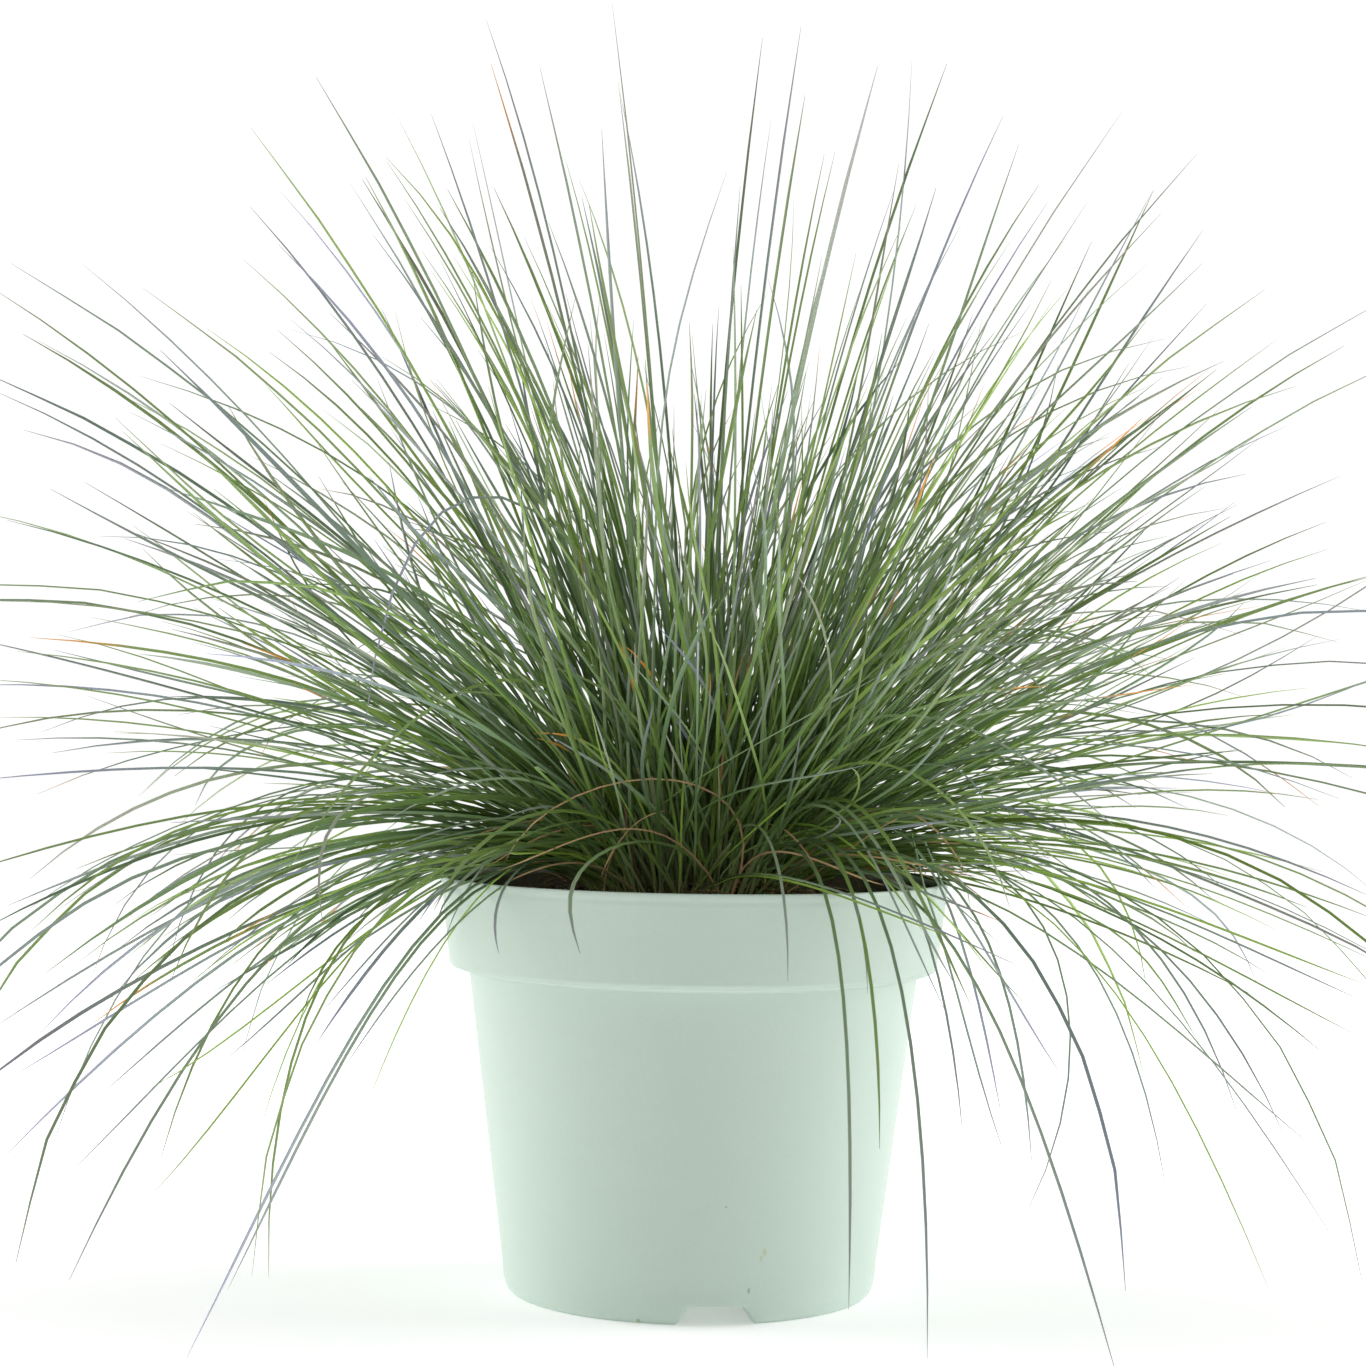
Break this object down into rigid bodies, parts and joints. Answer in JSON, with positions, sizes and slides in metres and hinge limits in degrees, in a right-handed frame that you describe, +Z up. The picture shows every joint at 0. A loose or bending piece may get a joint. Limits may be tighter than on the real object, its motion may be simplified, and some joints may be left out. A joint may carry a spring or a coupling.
{
  "type": "potted blue fescue clump",
  "caption": "Clump of fine blue-green fescue grass, fanning upright and arching over the rim of a plain mint-green plastic nursery pot.",
  "frame": {"origin": "middle of the foot ring, on the surface the pot stands on", "axes": "+Z up, -Y towards the side where the pot's face shows most clearly between the leaves"},
  "size_m": [0.5647, 0.5739, 0.421],
  "materials": {
    "mint_plastic": "pale mint moulded polypropylene, satin, with faint fine grain, slightly see-through at the thin walls",
    "potting_soil": "damp dark brown peat and bark crumbs",
    "crown_fibre": "dry straw-coloured sheaths and pale green shoot bases",
    "fescue_leaf": "fine rolled leaf blades, blue-green to yellow-green with a waxy bloom, violet and tan tips"
  },
  "bodies": {
    "root": {"arching_tuft_01": "fescue_leaf", "arching_tuft_02": "fescue_leaf", "arching_tuft_03": "fescue_leaf", "arching_tuft_04": "fescue_leaf", "arching_tuft_05": "fescue_leaf", "arching_tuft_06": "fescue_leaf", "arching_tuft_07": "fescue_leaf", "arching_tuft_08": "fescue_leaf", "arching_tuft_09": "fescue_leaf", "arching_tuft_10": "fescue_leaf", "arching_tuft_11": "fescue_leaf", "arching_tuft_12": "fescue_leaf", "crown": "crown_fibre", "heart_tuft": "fescue_leaf", "inner_tuft_01": "fescue_leaf", "inner_tuft_02": "fescue_leaf", "inner_tuft_03": "fescue_leaf", "inner_tuft_04": "fescue_leaf", "inner_tuft_05": "fescue_leaf", "inner_tuft_06": "fescue_leaf", "middle_tuft_01": "fescue_leaf", "middle_tuft_02": "fescue_leaf", "middle_tuft_03": "fescue_leaf", "middle_tuft_04": "fescue_leaf", "middle_tuft_05": "fescue_leaf", "middle_tuft_06": "fescue_leaf", "middle_tuft_07": "fescue_leaf", "middle_tuft_08": "fescue_leaf", "middle_tuft_09": "fescue_leaf", "middle_tuft_10": "fescue_leaf", "outer_tuft_01": "fescue_leaf", "outer_tuft_02": "fescue_leaf", "outer_tuft_03": "fescue_leaf", "outer_tuft_04": "fescue_leaf", "outer_tuft_05": "fescue_leaf", "outer_tuft_06": "fescue_leaf", "outer_tuft_07": "fescue_leaf", "outer_tuft_08": "fescue_leaf", "outer_tuft_09": "fescue_leaf", "outer_tuft_10": "fescue_leaf", "outer_tuft_11": "fescue_leaf", "outer_tuft_12": "fescue_leaf", "outer_tuft_13": "fescue_leaf", "outer_tuft_14": "fescue_leaf", "pot": "mint_plastic", "potting_soil": "potting_soil", "trailing_tuft_01": "fescue_leaf", "trailing_tuft_02": "fescue_leaf", "trailing_tuft_03": "fescue_leaf", "trailing_tuft_04": "fescue_leaf", "trailing_tuft_05": "fescue_leaf", "trailing_tuft_06": "fescue_leaf", "trailing_tuft_07": "fescue_leaf", "trailing_tuft_08": "fescue_leaf", "trailing_tuft_09": "fescue_leaf", "trailing_tuft_10": "fescue_leaf", "trailing_tuft_11": "fescue_leaf", "trailing_tuft_12": "fescue_leaf"}
  },
  "joints": []
}
